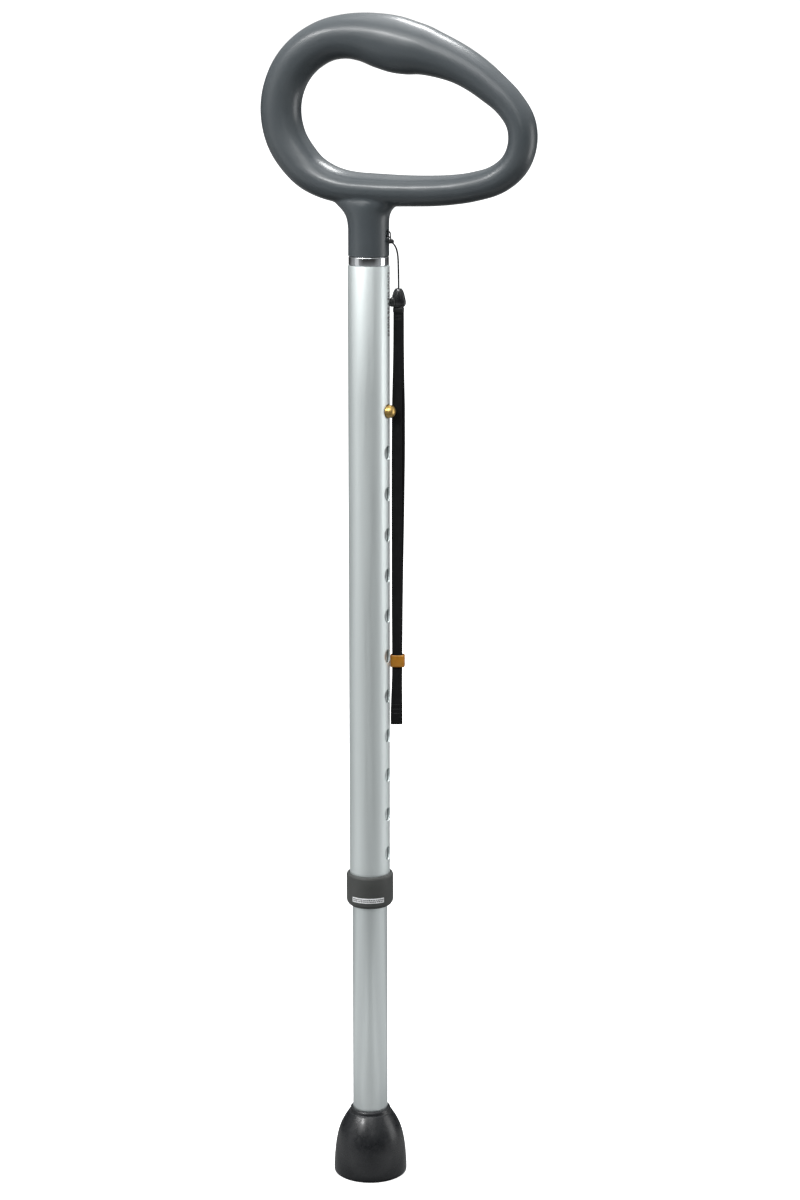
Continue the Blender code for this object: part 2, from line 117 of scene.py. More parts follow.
def join_rings(bm, rings, loop=False):
    """Faces between neighbouring rings. A ring of one vertex is a pole."""
    pairs = list(zip(rings, rings[1:]))
    if loop:
        pairs.append((rings[-1], rings[0]))
    for a, b in pairs:
        if len(a) == 1 and len(b) == 1:
            continue
        n = max(len(a), len(b))
        for k in range(n):
            j = (k + 1) % n
            if len(a) == 1:
                bm.faces.new((a[0], b[j], b[k]))
            elif len(b) == 1:
                bm.faces.new((a[k], a[j], b[0]))
            else:
                bm.faces.new((a[k], a[j], b[j], b[k]))


NEARLY_STRAIGHT = math.radians(165)
DENSE = 24


def fillet(profile, radius, steps=3):
    """Rounds the corners of a closed outline that lie off its axis."""
    count = len(profile)
    out = []
    for i, point in enumerate(profile):
        p = Vector(point)
        before, after = Vector(profile[i - 1]), Vector(profile[(i + 1) % count])
        u, v = (before - p), (after - p)
        short = u.length < 1e-6 or v.length < 1e-6
        if p.x == 0.0 or short or u.angle(v) > NEARLY_STRAIGHT:
            out.append(tuple(p))
            continue
        reach = min(radius / math.tan(u.angle(v) / 2), 0.45 * u.length, 0.45 * v.length)
        a, b = p + u.normalized() * reach, p + v.normalized() * reach
        for k in range(steps + 1):
            t = k / steps
            out.append(tuple(a * (1 - t) ** 2 + p * 2 * t * (1 - t) + b * t ** 2))
    return out


def revolve(name, profile, material, sides=128, sharp=35.0):
    """A solid of revolution about the cane's axis, from a closed outline in millimetres."""
    rings = [
        [(radius * math.cos(a) * MM, radius * math.sin(a) * MM, height * MM)
         for a in around(sides if radius else 1)]
        for radius, height in profile
    ]
    return loft(name, rings, material, sharp, loop=True)


def turned(name, profile, material, axis, height, sides=64):
    """A revolved piece whose own axis lies along a horizontal direction at a height."""
    piece = revolve(name, profile, material, sides)
    lay = Vector(axis).to_track_quat("Z", "Y").to_matrix().to_4x4()
    piece.data.transform(Matrix.Translation((0.0, 0.0, height * MM)) @ lay)
    return piece


def surface(bm, rings, loop):
    """A closed surface through rings of points, capped at both ends unless it is a loop."""
    made = [[bm.verts.new(point) for point in ring] for ring in rings]
    join_rings(bm, made, loop)
    if not loop:
        bm.faces.new(made[0])
        bm.faces.new(made[-1])


def loft(name, rings, material, sharp, loop=False):
    """A solid through rings of points."""
    bm = bmesh.new()
    surface(bm, rings, loop)
    return add_object(name, bm, material, sharp)


def apply_modifiers(obj):
    """Swaps the mesh for what its modifiers make of it."""
    graph = bpy.context.evaluated_depsgraph_get()
    mesh = bpy.data.meshes.new_from_object(obj.evaluated_get(graph))
    obj.modifiers.clear()
    obj.data = mesh


def cut(obj, tool):
    """Cuts a solid out of an object and removes it."""
    modifier = obj.modifiers.new("cut", "BOOLEAN")
    modifier.operation = "DIFFERENCE"
    modifier.solver = "EXACT"
    modifier.object = tool
    apply_modifiers(obj)
    bpy.data.objects.remove(tool, do_unlink=True)


def catmull(a, b, c, d, t):
    """A point between b and c on the uniform Catmull-Rom curve through four points."""
    return [
        0.5 * (2 * q + (r - p) * t + (2 * p - 5 * q + 4 * r - s) * t ** 2
               + (3 * q - p - 3 * r + s) * t ** 3)
        for p, q, r, s in zip(a, b, c, d)
    ]


def route_through(points, spacing):
    """Evenly spaced points on a smooth open curve through the given points, in metres."""
    padded = [points[0], *points, points[-1]]
    dense = []
    for i in range(len(points) - 1):
        dense += [Vector(catmull(*padded[i:i + 4], k / DENSE)) * MM for k in range(DENSE)]
    dense.append(Vector(points[-1]) * MM)
    route, walked = [dense[0]], 0.0
    for before, after in zip(dense, dense[1:]):
        walked += (after - before).length
        if walked >= spacing:
            route.append(after)
            walked = 0.0
    if (route[-1] - dense[-1]).length < spacing / 2:
        route.pop()
    return [*route, dense[-1]]


def strand(bm, line, radius, sides=10, closed=False):
    """A round tube along a line, with its frame carried along so that it doesn't twist."""
    count = len(line)
    normal = None
    rings = []
    for i, point in enumerate(line):
        if closed:
            along = (line[(i + 1) % count] - line[i - 1]).normalized()
        else:
            along = (line[min(i + 1, count - 1)] - line[max(i - 1, 0)]).normalized()
        if normal is None:
            normal = along.orthogonal().normalized()
        normal = (normal - along * normal.dot(along)).normalized()
        side = along.cross(normal)
        rings.append([
            point + normal * radius * math.cos(a) + side * radius * math.sin(a)
            for a in around(sides)
        ])
    surface(bm, rings, closed)


# ---- materials
class Nodes:
    """Shorthand for building a material's node tree."""

    def __init__(self, name):
        self.material = bpy.data.materials.new(name)
        self.material.use_nodes = True
        self.tree = self.material.node_tree
        self.shader = self.tree.nodes["Principled BSDF"]
        self.coords = self.tree.nodes.new("ShaderNodeTexCoord").outputs["Object"]

    def link(self, source, target):
        self.tree.links.new(source, target)

    def fill(self, socket, value):
        """Links a socket to another, or sets it to a plain value."""
        if isinstance(value, bpy.types.NodeSocket):
            self.link(value, socket)
        else:
            socket.default_value = value

    def fill_all(self, node, values):
        """Fills a node's sockets, named with underscores for spaces."""
        for name, value in values.items():
            self.fill(node.inputs[name.replace("_", " ")], value)
        return node

    def new(self, kind, **values):
        return self.fill_all(self.tree.nodes.new(kind), values)

    def set(self, **values):
        """Fills the shader's sockets and gives back the material."""
        self.fill_all(self.shader, values)
        return self.material

    def noise(self, scale, detail=3.0, stretch=(1.0, 1.0, 1.0)):
        """Noise with a feature size in metres of about 1 / scale, stretched per axis."""
        mapping = self.new("ShaderNodeMapping", Scale=stretch, Vector=self.coords)
        node = self.new("ShaderNodeTexNoise", Scale=scale, Detail=detail,
                        Vector=mapping.outputs["Vector"])
        return node.outputs["Fac"]

    def wave(self, scale, direction, distortion):
        """Even bands across a direction, a little wandering."""
        node = self.new("ShaderNodeTexWave", Scale=scale, Distortion=distortion, Vector=self.coords)
        node.bands_direction = direction
        return node.outputs["Fac"]

    def spread(self, value, low, high, start=0.3, end=0.7):
        """Maps a texture's start..end range to low..high."""
        return self.new("ShaderNodeMapRange", Value=value, From_Min=start, From_Max=end,
                        To_Min=low, To_Max=high).outputs["Result"]

    def reckon(self, operation, a, b):
        node = self.new("ShaderNodeMath")
        node.operation = operation
        self.fill(node.inputs[0], a)
        self.fill(node.inputs[1], b)
        return node.outputs["Value"]

    def add(self, a, b):
        return self.reckon("ADD", a, b)

    def times(self, a, b):
        return self.reckon("MULTIPLY", a, b)

    def colours(self, value, first, second):
        """A colour from the first towards the second, by a texture's value."""
        node = self.new("ShaderNodeMix")
        node.data_type = "RGBA"
        first = (*first, 1.0) if isinstance(first, tuple) else first
        self.fill_all(node, {"A": first, "B": (*second, 1.0), "Factor": value})
        return node.outputs["Result"]

    def tone(self, value, first, second):
        """A colour between two, over a texture's middle range."""
        return self.colours(self.spread(value, 0.0, 1.0), first, second)

    def edges(self, low, high):
        """0 on flat ground to 1 on sharp outer edges."""
        pointed = self.new("ShaderNodeNewGeometry").outputs["Pointiness"]
        return self.spread(pointed, 0.0, 1.0, low, high)

    def bump(self, value, distance, strength):
        return self.new("ShaderNodeBump", Distance=distance, Strength=strength,
                        Height=value).outputs["Normal"]


def grip_plastic():
    """Smooth grey moulding with a soft shine."""
    n = Nodes("grip_plastic")
    cloud = n.noise(28.0, 4.0)
    skin = n.noise(2600.0, 2.0)
    rub = n.noise(90.0, 5.0)
    colour = n.tone(cloud, (0.058, 0.070, 0.078), (0.070, 0.082, 0.090))
    return n.set(
        Base_Color=colour,
        Roughness=n.spread(rub, 0.36, 0.46),
        Normal=n.bump(skin, 0.000012, 0.6),
        Specular_IOR_Level=0.5,
        Coat_Weight=0.40, Coat_Roughness=0.22,
    )


def anodised(name, light, dark, low, high):
    """Satin anodised tube: drawn vertically, with faint lengthwise lines and cloudy tone."""
    n = Nodes(name)
    lines = n.noise(5200.0, 2.0, stretch=(1.0, 1.0, 0.012))
    broad = n.noise(420.0, 3.0, stretch=(1.0, 1.0, 0.03))
    grain = n.noise(3800.0, 2.0)
    cloud = n.noise(14.0, 3.0)
    drift = n.add(n.times(broad, 0.5), n.times(cloud, 0.5))
    height = n.add(n.times(lines, 0.6), n.times(grain, 0.4))
    return n.set(
        Base_Color=n.tone(drift, light, dark),
        Metallic=0.85,
        Roughness=n.spread(broad, low, high),
        Normal=n.bump(height, 0.000006, 0.7),
    )


def plain_metal(name, light, dark, low, high, stretch=(1.0, 1.0, 1.0)):
    """A bare or plated metal with fine machining lines and small smudges."""
    n = Nodes(name)
    lines = n.noise(2400.0, 3.0, stretch)
    smudge = n.noise(260.0, 4.0)
    return n.set(
        Base_Color=n.tone(smudge, light, dark),
        Metallic=1.0,
        Roughness=n.spread(smudge, low, high),
        Normal=n.bump(lines, 0.000004, 0.6),
    )


def moulded(name, light, dark, low, high, worn=None, depth=0.00002, coat=0.0):
    """Moulded plastic with a fine spark-eroded grain, and paler rubbed edges."""
    n = Nodes(name)
    cloud = n.noise(120.0, 4.0)
    skin = n.noise(2200.0, 2.0)
    colour = n.tone(cloud, light, dark)
    if worn is not None:
        patchy = n.spread(n.noise(700.0, 3.0), 0.0, 1.0, 0.35, 0.75)
        colour = n.colours(n.times(n.edges(0.52, 0.62), patchy), colour, worn)
    return n.set(
        Base_Color=colour,
        Roughness=n.spread(cloud, low, high),
        Normal=n.bump(skin, depth, 0.7),
        Coat_Weight=coat, Coat_Roughness=0.12,
    )


def rubber():
    """Black rubber with a dusty bloom and faint lines round it."""
    n = Nodes("foot_rubber")
    cloud = n.noise(70.0, 5.0)
    bloom = n.noise(420.0, 4.0)
    rings = n.noise(1500.0, 2.0, stretch=(0.02, 0.02, 1.0))
    fine = n.noise(3000.0, 2.0)
    colour = n.tone(cloud, (0.0062, 0.0070, 0.0086), (0.0092, 0.0102, 0.0120))
    dusty = n.spread(bloom, 0.0, 0.35, 0.5, 0.8)
    height = n.add(n.times(rings, 0.6), n.times(fine, 0.4))
    return n.set(
        Base_Color=n.colours(dusty, colour, (0.030, 0.031, 0.032)),
        Roughness=n.spread(bloom, 0.24, 0.36),
        Normal=n.bump(height, 0.000008, 0.5),
        Specular_IOR_Level=0.5,
    )


def webbing():
    """Black nylon webbing: warp cords along its length, crossed by finer weft."""
    n = Nodes("strap_weave")
    warp = n.wave(900.0, "X", 0.6)
    weft = n.wave(560.0, "Z", 0.8)
    fuzz = n.noise(5200.0, 2.0)
    cloud = n.noise(160.0, 4.0)
    weave = n.add(n.times(warp, weft), n.times(fuzz, 0.35))
    colour = n.colours(
        n.spread(weave, 0.0, 1.0, 0.1, 0.9), (0.004, 0.004, 0.0045), (0.012, 0.012, 0.013))
    return n.set(
        Base_Color=n.colours(n.spread(cloud, 0.0, 0.3), colour, (0.018, 0.018, 0.020)),
        Roughness=n.spread(fuzz, 0.62, 0.8),
        Normal=n.bump(weave, 0.00012, 0.8),
        Specular_IOR_Level=0.15,
        Sheen_Weight=0.05, Sheen_Roughness=0.4,
    )


def braid(name, light, dark):
    """Thin braided nylon."""
    n = Nodes(name)
    plait = n.wave(1500.0, "DIAGONAL", 1.5)
    fuzz = n.noise(6000.0, 2.0)
    height = n.add(plait, n.times(fuzz, 0.5))
    return n.set(
        Base_Color=n.tone(plait, dark, light),
        Roughness=n.spread(fuzz, 0.5, 0.7),
        Normal=n.bump(height, 0.00005, 0.7),
        Sheen_Weight=0.25, Sheen_Roughness=0.4,
    )


def amber():
    """Amber plastic that lets a little light in."""
    n = Nodes("slider_plastic")
    cloud = n.noise(300.0, 4.0)
    skin = n.noise(2600.0, 2.0)
    return n.set(
        Base_Color=n.tone(cloud, (0.42, 0.160, 0.006), (0.52, 0.215, 0.010)),
        Roughness=n.spread(cloud, 0.3, 0.42),
        Normal=n.bump(skin, 0.00001, 0.6),
        Subsurface_Weight=0.15, Subsurface_Scale=0.002,
        Coat_Weight=0.4, Coat_Roughness=0.15,
    )


def paper():
    """White label paper with faint stains."""
    n = Nodes("label_stock")
    fibre = n.noise(1800.0, 4.0)
    stain = n.noise(260.0, 3.0)
    colour = n.tone(fibre, (0.84, 0.85, 0.86), (0.92, 0.93, 0.94))
    return n.set(
        Base_Color=n.colours(n.spread(stain, 0.0, 0.3, 0.45, 0.75), colour, (0.42, 0.42, 0.41)),
        Roughness=n.spread(fibre, 0.45, 0.6),
        Normal=n.bump(fibre, 0.00001, 0.6),
    )


def ink(name, colour):
    """Print that has worn paler in places."""
    n = Nodes(name)
    worn = n.noise(2400.0, 4.0)
    paler = tuple(min(1.0, c * 2.2 + 0.05) for c in colour)
    return n.set(
        Base_Color=n.colours(n.spread(worn, 0.0, 1.0, 0.45, 0.8), colour, paler),
        Roughness=n.spread(worn, 0.45, 0.6),
    )


LOOKS = {
    "grip": grip_plastic(),
    "upper": anodised("upper_satin", (0.83, 0.885, 0.88), (0.79, 0.845, 0.84), 0.46, 0.54),
    "lower": anodised("lower_satin", (0.79, 0.845, 0.845), (0.75, 0.805, 0.805), 0.34, 0.41),
    "chrome": plain_metal("ring_plate", (0.74, 0.76, 0.78), (0.68, 0.70, 0.72), 0.05, 0.14),
    "brass": plain_metal("button_plate", (0.70, 0.48, 0.18), (0.58, 0.37, 0.11), 0.30, 0.42),
    "steel": plain_metal("bright_steel", (0.58, 0.58, 0.59), (0.48, 0.48, 0.50), 0.26, 0.40),
    "spring": plain_metal("blued_steel", (0.42, 0.43, 0.46), (0.33, 0.34, 0.38), 0.22, 0.34,
                          (1.0, 1.0, 0.05)),
    "core": plain_metal("core_metal", (0.58, 0.59, 0.60), (0.50, 0.51, 0.52), 0.30, 0.44,
                        (0.05, 0.05, 1.0)),
    "collar": moulded("collar_moulding", (0.054, 0.057, 0.054), (0.064, 0.067, 0.064), 0.42, 0.54,
                      worn=(0.16, 0.16, 0.155)),
    "sleeve": moulded("sleeve_moulding", (0.05, 0.05, 0.05), (0.07, 0.07, 0.07), 0.4, 0.55),
    "bush": moulded("bush_moulding", (0.70, 0.70, 0.67), (0.62, 0.62, 0.59), 0.4, 0.5),
    "connector": moulded("connector_moulding", (0.010, 0.010, 0.011), (0.015, 0.015, 0.017),
                         0.16, 0.26, worn=(0.06, 0.06, 0.06), depth=0.000006, coat=0.6),
    "ferrule": moulded("ferrule_moulding", (0.011, 0.011, 0.011), (0.016, 0.016, 0.017), 0.3, 0.4),
    "rubber": rubber(),
    "webbing": webbing(),
    "cord": braid("cord_braid", (0.030, 0.030, 0.032), (0.008, 0.008, 0.009)),
    "knot": braid("knot_braid", (0.030, 0.030, 0.032), (0.008, 0.008, 0.009)),
    "thread": braid("stitch_thread", (0.045, 0.045, 0.048), (0.015, 0.015, 0.016)),
    "amber": amber(),
    "paper": paper(),
    "print": ink("label_ink", (0.05, 0.05, 0.055)),
    "tube_print": ink("tube_ink", (0.035, 0.037, 0.04)),
}


def place(obj, body, node=None):
    """Rides on a body and stands for a CAD node."""
    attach(obj, body)
    if node:
        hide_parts(node)
    return obj


# ---- cords
# Sizes and heights are in millimetres. PLY is the webbing's thickness
STRAP_X, STRAP_Y = 16.8, 6.3
STRAP_WIDE = 6.3
PLY = 0.9
STRAP_LOW, STRAP_HIGH = 295.9, 553.3
CORD_R = 0.4
CORD_STEP = 0.6
CORD_LINE = [
    (16.8, 6.3, 562.2), (16.9, 6.2, 568.5), (17.15, 5.45, 574.5), (17.55, 4.2, 580.5),
    (17.8, 3.1, 585.5), (17.65, 2.15, 589.6), (17.0, 1.25, 592.6), (15.9, 0.45, 594.6),
    (14.9, 0.1, 595.5),
]
# The two strands lie side by side and meet in the knot, and a loop above it goes round the bar
CORD_ROUTE = (
    [(x + 0.30, y - 0.30, z) for x, y, z in CORD_LINE]
    + [(14.4, -0.45, 597.0), (14.4, -0.45, 600.2), (13.9, -0.45, 601.5), (12.7, -0.35, 602.2),
       (10.3, 0.0, 602.2), (9.0, 0.0, 601.7), (8.5, 0.0, 600.5), (9.0, 0.0, 599.3),
       (10.3, 0.0, 598.8), (12.6, 0.35, 598.8), (13.9, 0.45, 598.2), (14.4, 0.45, 597.0)]
    + [(x - 0.30, y + 0.30, z) for x, y, z in reversed(CORD_LINE)]
)
KNOT_AT = Vector((14.4, 0.0, 596.0)) * MM
KNOT_SCALE = 0.41
KNOT_STRAND_R = 0.74
KNOT_STEPS = 96


def make_cord():
    """The lanyard: down from the connector's strands, round the eye's bar and back."""
    line = route_through(CORD_ROUTE, CORD_STEP * MM)
    bm = bmesh.new()
    strand(bm, line, CORD_R * MM, 12)
    cord = add_object("lanyard_line", bm, LOOKS["cord"])
    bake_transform(cord)
    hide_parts("lanyard_cord")
    return cord, line


def make_knot():
    """A small overhand knot drawn tight: a trefoil of the same cord."""
    line = []
    for t in around(KNOT_STEPS):
        point = Vector((
            math.sin(t) + 2 * math.sin(2 * t),
            math.cos(t) - 2 * math.cos(2 * t),
            -1.5 * math.sin(3 * t),
        ))
        line.append(KNOT_AT + point * KNOT_SCALE * MM)
    bm = bmesh.new()
    strand(bm, line, KNOT_STRAND_R * MM, 12, closed=True)
    knot = add_object("lanyard_knot", bm, LOOKS["knot"])
    return place(knot, "strap", "cord_knot")


# The plies close up over this height at the strap's low end
FOLD_HIGH = 2.2
# How far the front and the rear ply stand to the right of the strap's line, by height, seen
# squarely, and how far both have turned round towards the front corner, in degrees
PLY_DRIFT = [
    (295.9, -1.7, -0.6), (304.0, -1.7, -0.6), (311.0, -1.5, -0.7), (320.0, -1.1, -0.8),
    (330.0, -0.75, -0.75), (342.0, -0.8, -0.7), (372.0, -1.0, -0.45), (397.0, -1.0, -0.1),
    (416.0, -1.0, 0.25), (434.0, -1.0, 0.55), (465.0, -0.95, 0.8), (497.0, -0.75, 0.75),
    (513.0, -0.35, 0.35), (530.0, 0.0, 0.15), (553.3, 0.1, 0.1),
]
PLY_TURN = [
    (295.9, 22.0), (320.0, 20.0), (336.0, 18.0), (350.0, 20.0), (430.0, 21.0), (462.0, 15.0),
    (482.0, 7.5), (500.0, 6.0), (553.3, 0.0),
]


def read_off(table, z, column):
    """A table's column at a height, straight between its rows, and eased over 10 mm."""
    total = 0.0
    for offset in (-5.0, -2.5, 0.0, 2.5, 5.0):
        at = max(table[0][0], min(table[-1][0], z + offset))
        for low, high in zip(table, table[1:]):
            if at <= high[0]:
                t = (at - low[0]) / (high[0] - low[0])
                total += low[column] * (1 - t) + high[column] * t
                break
    return total / 5


def smooth(t):
    """An eased step from 0 to 1."""
    t = max(0.0, min(1.0, t))
    return t * t * (3 - 2 * t)


def swell(z, low, peak, high):
    """0 at low and high, 1 at peak, with a smooth rise and fall."""
    if z <= low or z >= high:
        return 0.0
    return smooth((z - low) / (peak - low)) if z < peak else smooth((high - z) / (high - peak))


def turned_axes(degrees):
    """The directions across a band and out to its back, when it has turned that far."""
    turn = math.radians(degrees)
    return (Vector((math.cos(turn), math.sin(turn), 0.0)),
            Vector((-math.sin(turn), math.cos(turn), 0.0)))


def ply_frame(z, side):
    """A ply's middle at a height, and its directions across and out to the back."""
    lean, out = turned_axes(
        read_off(PLY_TURN, z, 1) + 4.0 * side * swell(z, 360.0, 440.0, 480.0))
    gap = 0.6 + 0.3 * swell(z, 345.0, 440.0, 552.0) + 0.25 * swell(z, 299.0, 312.0, 328.0)
    if z < STRAP_LOW + FOLD_HIGH:
        gap *= smooth((z - STRAP_LOW) / FOLD_HIGH) * 0.75 + 0.25
    shift = read_off(PLY_DRIFT, z, 1 if side < 0 else 2)
    return Vector((STRAP_X, STRAP_Y, z)) + lean * shift + out * (side * gap), lean, out


def make_ply(name, side):
    """One ply of webbing, a thin band with rounded selvedges, side -1 in front and 1 behind."""
    across, steps = 14, 150
    rings, path = [], []
    for step in range(steps + 1):
        z = STRAP_HIGH + (STRAP_LOW + PLY / 2 - STRAP_HIGH) * step / steps
        middle, lean, out = ply_frame(z, side)
        path.append(list(middle * MM))
        ring = []
        for face in (-1, 1):
            for k in range(across + 1):
                u = -1 + 2 * k / across if face < 0 else 1 - 2 * k / across
                edge = (1 - abs(u) ** 8) ** 0.5 if abs(u) < 1 else 0.0
                half = PLY / 2 * (0.35 + 0.65 * edge)
                ring.append((middle + lean * (u * STRAP_WIDE / 2) + out * (face * half)) * MM)
        rings.append(ring)
    return loft(name, rings, LOOKS["webbing"], sharp=70.0), path


cord, cord_line = make_cord()
knot = make_knot()
front_ply, front_path = make_ply("strap_front_ply", -1)
rear_ply, rear_path = make_ply("strap_rear_ply", 1)
place(front_ply, "strap", "wrist_strap")
place(rear_ply, "strap", "wrist_strap")


# ---- pieces on the strap
# Height, and half the connector's width and depth there. FACETS is its section
CONNECTOR_RINGS = [
    (556.1, 3.0, 2.1), (556.9, 3.8, 2.6), (558.0, 4.4, 2.9), (559.6, 4.45, 3.0),
    (561.2, 4.15, 2.9), (563.3, 3.7, 2.7), (565.4, 3.1, 2.4), (566.8, 2.4, 2.0),
    (567.6, 1.7, 1.6),
]
# The side tab: how far up it, and half its width and depth there
TAB_RINGS = [
    (0.0, 1.2, 1.0), (0.12, 1.7, 1.35), (0.5, 1.9, 1.55), (0.85, 1.6, 1.3), (1.0, 0.9, 0.8),
]
TAB_LOW, TAB_HIGH = 556.6, 562.4
TAB_X, TAB_Y = STRAP_X - 2.7, STRAP_Y - 2.9
TAB_SIDES = 16


FACETS = [
    (1.0, -0.42), (1.0, 0.42), (0.62, 0.90), (0.0, 1.0), (-0.62, 0.90), (-1.0, 0.42),
    (-1.0, -0.42), (-0.62, -0.90), (0.0, -1.0), (0.62, -0.90),
]


def bevel(obj, width, angle):
    """Breaks the edges that are sharper than an angle."""
    modifier = obj.modifiers.new("edge", "BEVEL")
    modifier.width = width * MM
    modifier.segments = 2
    modifier.limit_method = "ANGLE"
    modifier.angle_limit = math.radians(angle)
    modifier.use_clamp_overlap = True
    apply_modifiers(obj)
    shade(obj, 40.0)


def make_connector():
    """The teardrop that joins cord and strap, with a tab at its side."""
    rings = [
        [((STRAP_X + wide * u) * MM, (STRAP_Y + deep * v) * MM, z * MM) for u, v in FACETS]
        for z, wide, deep in CONNECTOR_RINGS
    ]
    body = loft("connector_shell", rings, LOOKS["connector"], sharp=20.0)
    bevel(body, 0.28, 14.0)
    tab_rings = []
    for t, wide, deep in TAB_RINGS:
        z = TAB_LOW + (TAB_HIGH - TAB_LOW) * t
        tab_rings.append([
            ((TAB_X + wide * math.cos(a)) * MM, (TAB_Y + deep * math.sin(a)) * MM, z * MM)
            for a in around(TAB_SIDES)
        ])
    tab = loft("connector_tab", tab_rings, LOOKS["connector"], sharp=50.0)
    bevel(tab, 0.2, 30.0)
    place(body, "strap", "cord_connector")
    place(tab, "strap")
    return body, tab


CORNER_STEPS = 5


def rounded_ring(size, corner, z, shift=0.0, degrees=0.0):
    """Points round a rectangle with rounded corners, moved across and turned with the strap."""
    lean, out = turned_axes(degrees)
    middle = Vector((STRAP_X, STRAP_Y, 0.0)) + lean * shift
    half_x, half_y = size[0] / 2 - corner, size[1] / 2 - corner
    points = []
    for k, (sx, sy) in enumerate([(1, 1), (-1, 1), (-1, -1), (1, -1)]):
        for step in range(CORNER_STEPS + 1):
            angle = math.pi / 2 * (k + step / CORNER_STEPS)
            across = sx * half_x + corner * math.cos(angle)
            deep = sy * half_y + corner * math.sin(angle)
            spot = middle + lean * across + out * deep
            points.append((spot.x * MM, spot.y * MM, z * MM))
    return points


FERRULE_WIDE, FERRULE_DEEP, FERRULE_CORNER = 6.6, 2.9, 0.7
# Height, and how much wider than those sizes the ferrule is there
FERRULE_RINGS = [
    (553.1, -0.5), (553.25, -0.1), (553.6, 0.0), (555.6, 0.0), (555.95, -0.2), (556.15, -0.5),
]


def make_ferrule():
    """The band that clamps the strap's top end."""
    rings = [
        rounded_ring((FERRULE_WIDE + grow, FERRULE_DEEP + grow), FERRULE_CORNER, z)
        for z, grow in FERRULE_RINGS
    ]
    ferrule = loft("strap_clamp", rings, LOOKS["ferrule"], sharp=40.0)
    return place(ferrule, "strap", "strap_ferrule")


SLIDER_LOW, SLIDER_HIGH = 333.4, 341.0
SLIDER_OUTER, SLIDER_CORNER = (9.2, 5.4), 1.25
SLIDER_INNER, SLIDER_INNER_CORNER = (8.0, 4.2), 0.4
SLIDER_SHIFT, SLIDER_TURN = -0.55, 20.0
# Distance from an end, and how much wider the slider is there
SLIDER_EASE = [(0.0, -0.9), (0.12, -0.45), (0.45, -0.1), (0.9, 0.0)]


def make_slider():
    """The bead on the strap, turned and moved across as the plies are."""
    def ring(size, grow, corner, z):
        size = (size[0] + grow, size[1] + grow)
        return rounded_ring(size, corner, z, SLIDER_SHIFT, SLIDER_TURN)

    outside = [(SLIDER_LOW + inset, grow) for inset, grow in SLIDER_EASE]
    outside += [(SLIDER_HIGH - inset, grow) for inset, grow in reversed(SLIDER_EASE)]
    inside = [
        (SLIDER_HIGH, 0.25), (SLIDER_HIGH - 0.3, 0.0), (SLIDER_LOW + 0.3, 0.0), (SLIDER_LOW, 0.25),
    ]
    rings = [ring(SLIDER_OUTER, grow, SLIDER_CORNER + grow / 4, z) for z, grow in outside]
    rings += [ring(SLIDER_INNER, grow, SLIDER_INNER_CORNER, z) for z, grow in inside]
    slider = loft("slide_bead", rings, LOOKS["amber"], loop=True, sharp=45.0)
    return place(slider, "slider", "strap_slider")


STITCH_ROWS = (551.4, 550.5, 549.6, 548.7, 309.2, 306.4, 303.6)
STITCH_ACROSS = (-1.8, -0.6, 0.6, 1.8)
STITCH_LONG, STITCH_R, STITCH_STEPS = 0.95, 0.13, 5


def make_stitching():
    """A bar tack under the ferrule and a box of stitches over the fold, as small arched strands."""
    bm = bmesh.new()
    for side in (-1, 1):
        for z in STITCH_ROWS:
            middle, lean, out = ply_frame(z, side)
            for across in STITCH_ACROSS:
                spot = middle + lean * across + out * (side * PLY / 2)
                line = []
                for step in range(STITCH_STEPS + 1):
                    t = step / STITCH_STEPS
                    lift = side * (math.sin(math.pi * t) * 0.14 - 0.05)
                    line.append((spot + lean * ((t - 0.5) * STITCH_LONG) + out * lift) * MM)
                strand(bm, line, STITCH_R * MM, 6)
    stitching = add_object("strap_stitching", bm, LOOKS["thread"])
    return place(stitching, "strap")


connector, tab = make_connector()
ferrule = make_ferrule()
slider = make_slider()
stitching = make_stitching()


# ---- handle
# Along the loop: x, z, and half the section's size in the loop's plane and across it
HANDLE_LOOP = [
    (96.1, 667.2, 8.6, 10.2), (88.3, 678.6, 8.9, 10.6), (78.1, 687.3, 9.7, 11.3),
    (68.7, 694.1, 10.4, 12.0), (59.5, 699.4, 11.2, 12.6), (50.6, 703.2, 12.2, 13.2),
    (42.1, 706.1, 13.3, 13.8), (33.9, 708.5, 14.7, 14.3), (25.5, 709.9, 16.0, 14.6),
    (17.2, 711.6, 16.6, 14.7), (8.1, 713.7, 16.0, 14.4), (-2.6, 715.8, 14.4, 13.9),
    (-14.5, 716.2, 13.1, 13.4), (-26.8, 713.9, 12.5, 13.0), (-38.1, 708.2, 12.4, 12.7),
    (-47.4, 699.8, 12.4, 12.5), (-53.8, 689.2, 12.4, 12.4), (-56.9, 677.5, 12.4, 12.4),
    (-56.5, 665.5, 12.4, 12.4), (-52.9, 654.2, 12.3, 12.4), (-46.2, 644.4, 12.0, 12.5),
    (-38.0, 636.4, 11.4, 12.7), (-27.8, 631.1, 10.7, 12.9), (-17.3, 628.2, 10.1, 13.1),
    (-7.3, 627.0, 9.8, 13.2), (1.7, 626.6, 9.7, 13.2), (9.7, 626.3, 9.7, 13.0),
    (17.4, 626.2, 9.5, 12.6), (25.1, 626.2, 9.3, 12.2), (33.3, 626.3, 9.2, 11.8),
    (42.6, 626.6, 9.1, 11.4), (53.4, 627.4, 8.9, 11.0), (66.3, 629.3, 8.7, 10.6),
    (81.2, 633.7, 8.6, 10.3), (92.3, 642.3, 8.5, 10.0), (97.3, 654.3, 8.5, 10.0),
]
